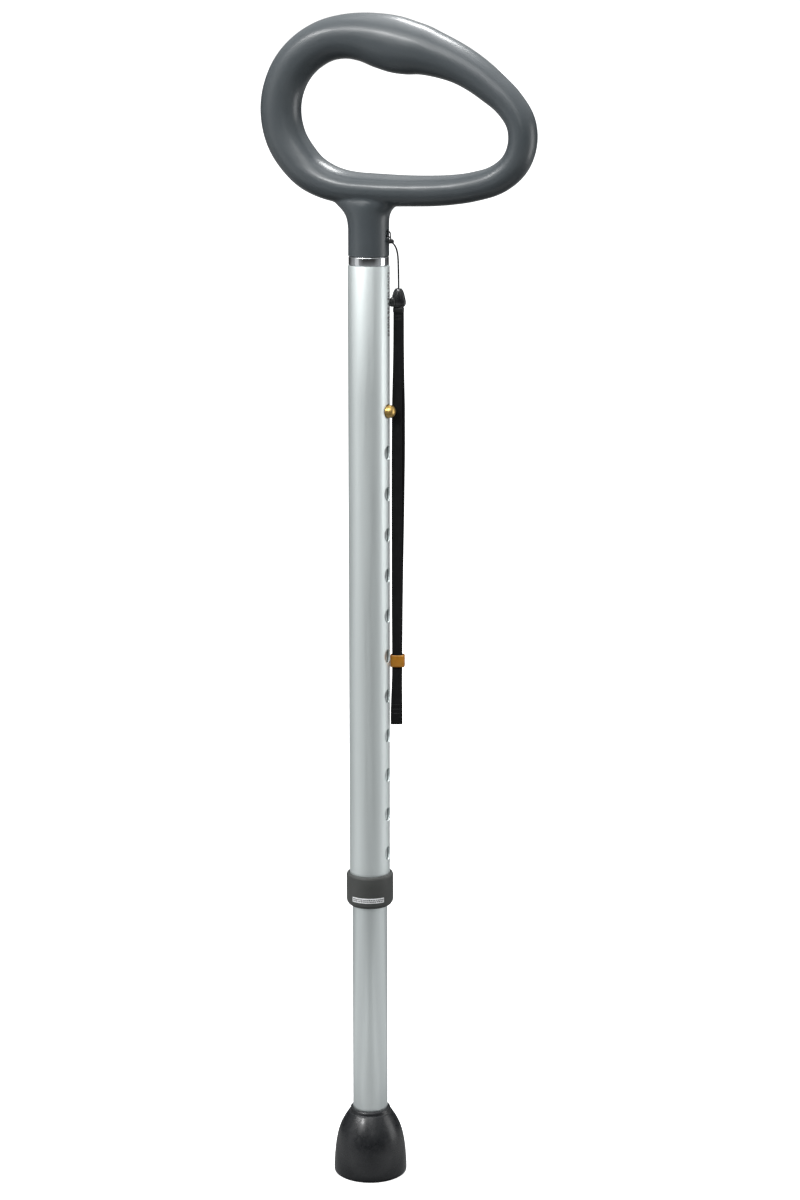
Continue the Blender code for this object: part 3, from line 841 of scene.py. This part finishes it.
# Up the neck: z, and its reach to the left, to the right and across
NECK_RINGS = [
    (580.0, 12.4, 12.4, 12.4), (603.0, 12.4, 12.4, 12.4), (608.0, 13.0, 12.4, 12.4),
    (611.0, 14.1, 12.8, 12.4), (614.0, 16.3, 14.1, 12.5), (616.5, 19.2, 16.6, 12.5),
    (619.0, 22.0, 19.6, 12.2), (622.0, 20.0, 18.0, 11.0),
]
NECK_R = 12.4
NECK_SIDES = 96
# What is taken off under the neck, and the bore for the tube and its plug
NECK_TRIM = [
    (0.0, 570.0), (30.0, 570.0), (30.0, 587.5), (12.6, 587.5), (12.3, 587.1), (11.9, 586.8),
    (0.0, 586.8),
]
NECK_BORE = [(0.0, 570.0), (11.5, 570.0), (11.5, 588.9), (0.0, 588.9)]
# The cord's eye: a pocket in the neck's right side, with a bar left standing across it
EYE_Z = 600.5
EYE_POCKET = [
    (0.0, 7.6), (2.3, 7.6), (2.4, 7.8), (2.4, 11.6), (2.5, 12.0), (2.8, 12.35), (3.3, 12.6),
    (3.6, 13.5), (0.0, 13.5),
]
EYE_BAR_X, EYE_BAR_HALF, EYE_BAR_R = 10.2, 3.2, 1.1
LOOP_STEPS = 5
LOOP_SIDES = 56
GRIP_VOXEL = 0.9


def loop_rings():
    """Elliptical sections round the loop."""
    count = len(HANDLE_LOOP)
    line = []
    for i in range(count):
        four = [HANDLE_LOOP[(i + k) % count] for k in (-1, 0, 1, 2)]
        line += [catmull(*four, step / LOOP_STEPS) for step in range(LOOP_STEPS)]
    rings = []
    for i, (x, z, half_in, half_across) in enumerate(line):
        before, after = line[i - 1], line[(i + 1) % len(line)]
        along = Vector((after[0] - before[0], 0.0, after[1] - before[1])).normalized()
        out = Vector((along.z, 0.0, -along.x))
        ring = []
        for angle in around(LOOP_SIDES):
            point = Vector((x, 0.0, z)) + out * (half_in * math.cos(angle))
            point.y = half_across * math.sin(angle)
            ring.append(point * MM)
        rings.append(ring)
    return rings


def neck_rings():
    """Level sections up the neck."""
    rings = []
    for z, left, right, across in NECK_RINGS:
        ring = []
        for angle in around(NECK_SIDES):
            reach = right if math.cos(angle) > 0 else left
            ring.append((reach * math.cos(angle) * MM, across * math.sin(angle) * MM, z * MM))
        rings.append(ring)
    return rings


def make_handle():
    """The moulded grip: loop and neck melted into one skin, then trimmed, bored and eyed."""
    bm = bmesh.new()
    surface(bm, loop_rings(), True)
    surface(bm, neck_rings(), False)
    grip = add_object("grip_skin", bm)
    melt = grip.modifiers.new("melt", "REMESH")
    melt.mode = "VOXEL"
    melt.voxel_size = GRIP_VOXEL * MM
    melt.use_smooth_shade = True
    ease = grip.modifiers.new("ease", "SMOOTH")
    ease.factor = 0.5
    ease.iterations = 10
    apply_modifiers(grip)
    # The melt eats into the neck, which is made round and full again below the loop
    for vertex in grip.data.vertices:
        radius = math.hypot(vertex.co.x, vertex.co.y)
        if vertex.co.z < 604 * MM and radius > 10 * MM:
            turn = smooth((606 * MM - vertex.co.z) / (6 * MM))
            scale = 1 + (NECK_R * MM / radius - 1) * turn
            vertex.co.x *= scale
            vertex.co.y *= scale
    cut(grip, revolve("tool", NECK_TRIM, None))
    cut(grip, revolve("tool", NECK_BORE, None))
    pocket = turned("tool", EYE_POCKET, None, (1.0, 0.0, 0.0), EYE_Z, 48)
    bar = bmesh.new()
    line = [Vector((EYE_BAR_X, y, EYE_Z)) * MM for y in (-EYE_BAR_HALF, 0.0, EYE_BAR_HALF)]
    strand(bar, line, EYE_BAR_R * MM, 24)
    cut(pocket, add_object("bar", bar))
    cut(grip, pocket)
    shade(grip, 38.0)
    grip.data.materials.clear()
    grip.data.materials.append(LOOKS["grip"])
    return place(grip, "upper", "handle_grip")


make_handle()


# ---- tubes
UPPER_R, UPPER_BORE, UPPER_SPAN = 12.7, 11.5, (186.3, 581.4)
LOWER_R, LOWER_BORE, LOWER_SPAN = 11.1, 9.9, (10.0, 518.0)
TUBE_EASE = 0.35
HOLE_R = 4.25
HOLE_PITCH = 25.4
HOLE_COUNT = 12
TOP_HOLE_Z = 493.4
# Each hole has a square of the wall's mesh to itself: half its side, and its steps along a side
CELL = 6.0
CELL_STEPS = 6
WALL_COLUMNS = 96


def drilled_tube(name, radius, bore, span, holes, material):
    """A tube with holes drilled in its +X wall, each with an eased rim."""
    low, high = span
    spread = CELL / radius
    angles = [spread * (2 * i / CELL_STEPS - 1) for i in range(CELL_STEPS + 1)]
    rest = TAU - 2 * spread
    angles += [spread + rest * j / WALL_COLUMNS for j in range(1, WALL_COLUMNS)]
    columns = len(angles)
    heights, cells = [low + TUBE_EASE], []
    for centre in sorted(holes):
        cells.append((len(heights), centre))
        heights += [centre + CELL * (2 * i / CELL_STEPS - 1) for i in range(CELL_STEPS + 1)]
    heights.append(high - TUBE_EASE)
    inside = {
        (start + i, j) for start, _ in cells
        for i in range(1, CELL_STEPS) for j in range(1, CELL_STEPS)
    }
    blocks = {
        (start + i, j) for start, _ in cells
        for i in range(CELL_STEPS) for j in range(CELL_STEPS)
    }
    bm = bmesh.new()

    def point(reach, angle, z):
        return bm.verts.new(
            (reach * math.cos(angle) * MM, reach * math.sin(angle) * MM, z * MM))

    skins, rims = [], []
    for reach in (radius, bore):
        grid = [
            [None if (i, j) in inside else point(reach, angle, z)
             for j, angle in enumerate(angles)]
            for i, z in enumerate(heights)
        ]
        skins.append(grid)
        for i in range(len(heights) - 1):
            for j in range(columns):
                if (i, j) in blocks:
                    continue
                k = (j + 1) % columns
                bm.faces.new((grid[i][j], grid[i][k], grid[i + 1][k], grid[i + 1][j]))
        skin_rims = []
        for start, centre in cells:
            top, n = start + CELL_STEPS, CELL_STEPS
            spots = (
                [(start, j) for j in range(n)] + [(start + i, n) for i in range(n)]
                + [(top, n - j) for j in range(n)] + [(top - i, 0) for i in range(n)]
            )
            rim = [(angles[j] * radius, heights[i] - centre) for i, j in spots]
            rim = [(across, up, math.atan2(up, across)) for across, up in rim]
            rings = [[grid[i][j] for i, j in spots]]
            flush = HOLE_R + (0.3 if reach == radius else 0.0)
            for fraction in (0.45, 0.8, 1.0):
                ring = []
                for across, up, bearing in rim:
                    round_angle = math.asin(flush * math.cos(bearing) / reach)
                    round_z = flush * math.sin(bearing)
                    angle = across / radius * (1 - fraction) + round_angle * fraction
                    ring.append(point(reach, angle, centre + up * (1 - fraction)
                                      + round_z * fraction))
                rings.append(ring)
            if reach == radius:
                for wider, depth in ((0.09, 0.07), (0.0, 0.28)):
                    deep, hole = reach - depth, HOLE_R + wider
                    rings.append([
                        point(deep, math.asin(hole * math.cos(bearing) / deep),
                              centre + hole * math.sin(bearing))
                        for _, _, bearing in rim
                    ])
            join_rings(bm, rings)
            skin_rims.append(rings[-1])
        rims.append(skin_rims)
    for outer, inner in zip(*rims):
        join_rings(bm, [outer, inner])
    for row, end, sign in ((0, low, 1), (-1, high, -1)):
        edge = [
            skins[0][row],
            [point(radius - 0.1, a, end + sign * 0.1) for a in angles],
            [point(radius - TUBE_EASE, a, end) for a in angles],
            [point(bore + 0.15, a, end) for a in angles],
            skins[1][row],
        ]
        join_rings(bm, edge)
    return add_object(name, bm, material, 40.0)


upper_holes = [TOP_HOLE_Z - HOLE_PITCH * k for k in range(HOLE_COUNT)]
upper = drilled_tube(
    "upper_tube_skin", UPPER_R, UPPER_BORE, UPPER_SPAN, upper_holes, LOOKS["upper"])
place(upper, "upper", "upper_tube")
lower = drilled_tube(
    "lower_tube_skin", LOWER_R, LOWER_BORE, LOWER_SPAN, [TOP_HOLE_Z], LOOKS["lower"])
place(lower, "lower", "lower_tube")


# ---- turned and moulded pieces
# Outlines are radius and height, or radius and distance from the axis on a level piece
RING_PROFILE = [
    (11.5, 581.7), (12.15, 581.7), (12.2, 582.0), (12.2, 586.2), (12.1, 586.5), (11.5, 586.5),
]
RIVET_Z = 562.0
RIVET_PROFILE = [
    (0.0, 6.8), (1.1, 6.8), (1.45, 7.2), (1.45, 12.72), (2.9, 12.72), (2.92, 12.85), (2.8, 13.2),
    (2.4, 13.55), (1.7, 13.82), (0.9, 13.95), (0.75, 13.9), (0.55, 13.6), (0.3, 13.5), (0.0, 13.48),
]
COLLAR_PROFILE = [
    (11.5, 179.5), (12.4, 179.5), (13.6, 180.3), (14.5, 181.7), (14.8, 183.0), (14.8, 199.0),
    (14.5, 199.9), (13.7, 200.7), (13.05, 200.7), (13.05, 197.4), (14.0, 197.4), (14.0, 183.8),
    (11.5, 183.8),
]
BIG_SIDES = 160

ring_band = revolve("ring_band", fillet(RING_PROFILE, 0.12), LOOKS["chrome"], BIG_SIDES)
place(ring_band, "upper", "neck_ring")
rivet = turned("rivet_head", RIVET_PROFILE, LOOKS["steel"], (0.0, 1.0, 0.0), RIVET_Z)
place(rivet, "upper", "handle_rivet")
collar = revolve(
    "collar_shell", fillet(COLLAR_PROFILE, 0.45, 4), LOOKS["collar"], BIG_SIDES, sharp=50.0)
place(collar, "collar", "lock_collar")


def patch(bm, inner, outer, start, end, low, high, steps):
    """A curved slab on a cylinder, from one angle to another."""
    rings = []
    for k in range(steps + 1):
        angle = math.radians(start + (end - start) * k / steps)
        c, s = math.cos(angle), math.sin(angle)
        corners = [(inner, low), (outer, low), (outer, high), (inner, high)]
        rings.append([(r * c * MM, r * s * MM, z * MM) for r, z in corners])
    surface(bm, rings, False)


# Angles in degrees and heights. The label's bars and the tube's dashes stand for small print
LABEL_ANGLES, LABEL_Z = (-114.0, -31.5), (184.0, 187.1)
BAR_ANGLES, BAR_ROWS = (-112.0, -34.5), ((185.75, 186.45), (184.65, 185.35))
MARK_ROWS = ((-4.0, 1.5), (5.0, 10.0), (13.5, 18.0))
MARK_Z = (539.5, 577.5)


def make_label():
    """A white label on the collar, with two rows of plain bars."""
    bm = bmesh.new()
    patch(bm, 14.75, 15.0, *LABEL_ANGLES, *LABEL_Z, 48)
    label = add_object("label_sticker", bm, LOOKS["paper"])
    place(label, "collar", "collar_label")
    draw = random.Random(7)
    bm = bmesh.new()
    for low, high in BAR_ROWS:
        angle = BAR_ANGLES[0]
        while angle < BAR_ANGLES[1]:
            wide = draw.uniform(2.0, 4.6)
            patch(bm, 14.95, 15.03, angle, min(angle + wide, -33.0), low, high, 3)
            angle += wide + draw.uniform(0.9, 1.6)
    bars = add_object("label_bars", bm, LOOKS["print"])
    place(bars, "collar")


def make_tube_marks():
    """Plain dashes in rows down the tube above the holes."""
    draw = random.Random(3)
    bm = bmesh.new()
    for low_angle, high_angle in MARK_ROWS:
        z = MARK_Z[1]
        while z > MARK_Z[0]:
            tall = draw.uniform(0.9, 1.9)
            inset = draw.uniform(0.0, 1.8)
            patch(bm, 12.6, 12.72, low_angle + inset, high_angle, z - tall, z, 3)
            z -= tall + (0.55 if draw.random() < 0.8 else 1.6)
    marks = add_object("tube_marks", bm, LOOKS["tube_print"])
    place(marks, "upper")


make_label()
make_tube_marks()

TIP_PROFILE = [
    (0.0, 0.0), (5.0, 0.0), (5.4, 1.4), (7.4, 1.4), (7.8, 0.0), (11.0, 0.0), (11.4, 1.4),
    (13.4, 1.4), (13.8, 0.0), (17.0, 0.0), (17.4, 1.4), (19.4, 1.4), (19.8, 0.0), (22.5, 0.0),
    (23.1, 0.45), (23.3, 1.4), (23.3, 3.0), (23.25, 5.5), (23.1, 8.0), (22.98, 10.2),
    (22.8, 12.5), (22.58, 15.0), (22.3, 17.5), (22.0, 19.8), (21.6, 22.0), (21.14, 24.3),
    (20.6, 26.5), (20.0, 28.5), (19.3, 30.5), (18.55, 32.3), (17.7, 34.0), (16.8, 35.7),
    (15.8, 37.4), (14.9, 38.8), (14.1, 40.0), (13.75, 40.5), (13.55, 40.62), (13.35, 40.75),
    (13.2, 41.1), (12.95, 42.2), (12.7, 42.95), (12.2, 43.35), (11.8, 43.4), (11.45, 43.15),
    (11.35, 42.6), (11.35, 8.0), (0.0, 8.0),
]
foot = revolve("foot_boot", TIP_PROFILE, LOOKS["rubber"], BIG_SIDES, sharp=50.0)
place(foot, "lower", "rubber_tip")

BUTTON_PROFILE = [
    (0.0, 6.6), (4.2, 6.6), (4.5, 6.75), (4.6, 7.0), (4.6, 7.4), (4.45, 7.6), (3.9, 7.6),
    (3.9, 14.0), (3.87, 14.6), (3.78, 15.1), (3.6, 15.5), (3.3, 15.95), (2.9, 16.35),
    (2.4, 16.7), (1.8, 16.95), (1.2, 17.1), (0.6, 17.18), (0.0, 17.2),
]
button = turned("button_dome", BUTTON_PROFILE, LOOKS["brass"], (1.0, 0.0, 0.0), TOP_HOLE_Z)
place(button, "button", "snap_button")

# Inner pieces keep their CAD meshes and take a finish of their own
for node, look in (
    ("handle_spigot", "core"), ("collet_sleeve", "sleeve"), ("guide_bush", "bush"),
    ("button_spring", "spring"), ("tip_washer", "steel"),
):
    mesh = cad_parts[node].data
    mesh.materials.clear()
    mesh.materials.append(LOOKS[look])


# ---- studio
# Height of the direction, and the room's brightness there
SKY = [
    (-1.0, 0.06), (-0.62, 0.10), (-0.45, 0.42), (-0.30, 0.40), (-0.12, 0.37), (0.0, 0.28),
    (0.35, 0.46), (1.0, 1.0),
]
# How far a level direction points to the camera's side, and how much of that brightness is left
AROUND = [(-1.0, 0.12), (-0.6, 0.22), (-0.25, 0.9), (0.45, 1.0), (0.85, 0.15)]
# Name, azimuth, distance, height, size, radiance, and the height on the cane that it faces
LIGHTS = [
    ("left_box", -50.0, 1.3, 0.62, (0.62, 1.4), 0.42, 0.48),
    ("right_box", 112.0, 1.3, 0.46, (0.60, 0.92), 2.2, 0.40),
    ("key_box", -33.0, 3.0, 2.60, (3.4, 0.75), 2.6, 0.55),
    ("streak_box", -46.0, 3.0, 2.60, (1.0, 0.40), 20.0, 0.70),
    ("spot_box", -19.0, 5.0, 4.25, (1.1, 0.8), 34.0, 0.55),
    ("low_key_box", -20.0, 3.0, 1.32, (0.6, 0.35), 2.4, 0.60),
    ("front_box", 30.0, 3.0, 1.45, (0.5, 0.7), 1.4, 0.60),
    ("top_box", 202.0, 0.12, 1.90, (1.0, 0.9), 1.7, 0.70),
    ("back_box", 182.0, 0.75, 2.05, (0.46, 0.46), 22.0, 0.70),
    ("fill_box", 14.0, 1.3, 1.9, (1.3, 0.8), 2.9, 0.45),
]
# Weak lights on the floor, which only shiny surfaces pick up, with one side's length for a size
GLOWS = [
    ("left_glow", -55.0, 0.28, 0.40, 0.32), ("front_glow", 22.0, 0.12, 0.18, 0.30),
    ("right_glow", 99.0, 0.28, 0.40, 0.32),
]


def make_floor():
    """A pale floor without a visible edge, a little bright in itself so that it stays plain."""
    bm = bmesh.new()
    bmesh.ops.create_circle(bm, cap_ends=True, segments=96, radius=60.0)
    n = Nodes("floor_paper")
    speck = n.noise(40.0, 3.0)
    n.set(
        Base_Color=n.tone(speck, (0.88, 0.88, 0.88), (0.90, 0.90, 0.90)),
        Roughness=0.9, Specular_IOR_Level=0.1,
        Emission_Color=(1.0, 1.0, 1.0, 1.0), Emission_Strength=0.80,
    )
    floor = add_object("floor", bm, n.material)
    floor.location.z = -0.0002
    floor.visible_diffuse = False
    floor.visible_glossy = False


def soft_box(name, azimuth, distance, height, size, radiance, target):
    """An area light facing the cane's axis at a height. The camera doesn't see it."""
    data = bpy.data.lights.new(name, "AREA")
    data.shape = "RECTANGLE"
    data.size, data.size_y = size
    data.energy = radiance * math.pi * size[0] * size[1]
    light = bpy.data.objects.new(name, data)
    light.location = heading(math.radians(azimuth), distance, height)
    towards = Vector((0.0, 0.0, target)) - light.location
    light.rotation_euler = towards.to_track_quat("-Z", "Y").to_euler()
    light.visible_camera = False
    bpy.context.scene.collection.objects.link(light)
    return light


def make_world():
    """White where the camera looks. As light, a dim room: dark ahead, paler above than below."""
    world = bpy.data.worlds.new("studio")
    world.use_nodes = True
    tree = world.node_tree
    nodes, links = tree.nodes, tree.links

    def mapped(value, *limits):
        """A value's range, turned into another."""
        made = nodes.new("ShaderNodeMapRange")
        for name, limit in zip(("From Min", "From Max", "To Min", "To Max"), limits):
            made.inputs[name].default_value = limit
        links.new(value, made.inputs["Value"])
        return made.outputs["Result"]

    def graded(value, points):
        """A grey ramp over a value from -1 to 1."""
        made = nodes.new("ShaderNodeValToRGB")
        stops = made.color_ramp.elements
        while len(stops) < len(points):
            stops.new(0.5)
        for stop, (where, grey) in zip(stops, points):
            stop.position = (where + 1) / 2
            stop.color = (grey, grey, grey, 1.0)
        links.new(mapped(value, -1.0, 1.0), made.inputs["Fac"])
        return made.outputs["Color"]

    way = nodes.new("ShaderNodeTexCoord").outputs["Generated"]
    ahead = nodes.new("ShaderNodeVectorMath")
    ahead.operation = "DOT_PRODUCT"
    ahead.inputs[1].default_value = heading(CAMERA_AZIMUTH, 1.0, 0.0)
    links.new(way, ahead.inputs[0])
    parts = nodes.new("ShaderNodeSeparateXYZ")
    links.new(way, parts.inputs[0])
    level = nodes.new("ShaderNodeMath")
    level.operation = "ABSOLUTE"
    links.new(parts.outputs["Z"], level.inputs[0])
    dim = nodes.new("ShaderNodeMix")
    dim.inputs["A"].default_value = 1.0
    links.new(mapped(level.outputs["Value"], 0.10, 0.38, 1.0, 0.0), dim.inputs["Factor"])
    links.new(graded(ahead.outputs["Value"], AROUND), dim.inputs["B"])
    power = nodes.new("ShaderNodeMath")
    power.operation = "MULTIPLY"
    links.new(dim.outputs["Result"], power.inputs[0])
    links.new(graded(parts.outputs["Z"], SKY), power.inputs[1])
    light = nodes["Background"]
    light.inputs["Color"].default_value = (0.97, 0.99, 1.0, 1.0)
    links.new(power.outputs["Value"], light.inputs["Strength"])
    seen = nodes.new("ShaderNodeBackground")
    seen.inputs["Color"].default_value = (1.0, 1.0, 1.0, 1.0)
    seen.inputs["Strength"].default_value = 1.1
    path = nodes.new("ShaderNodeLightPath")
    mix = nodes.new("ShaderNodeMixShader")
    links.new(path.outputs["Is Camera Ray"], mix.inputs["Fac"])
    links.new(light.outputs["Background"], mix.inputs[1])
    links.new(seen.outputs["Background"], mix.inputs[2])
    links.new(mix.outputs["Shader"], nodes["World Output"].inputs["Surface"])
    bpy.context.scene.world = world


def make_studio():
    bpy.context.scene.view_settings.view_transform = "Standard"
    make_world()
    for box in LIGHTS:
        soft_box(*box)
    for name, azimuth, distance, wide, radiance in GLOWS:
        glow = soft_box(name, azimuth, distance, 0.004, (wide, wide), radiance, 4.0)
        glow.visible_diffuse = False


make_floor()
make_studio()
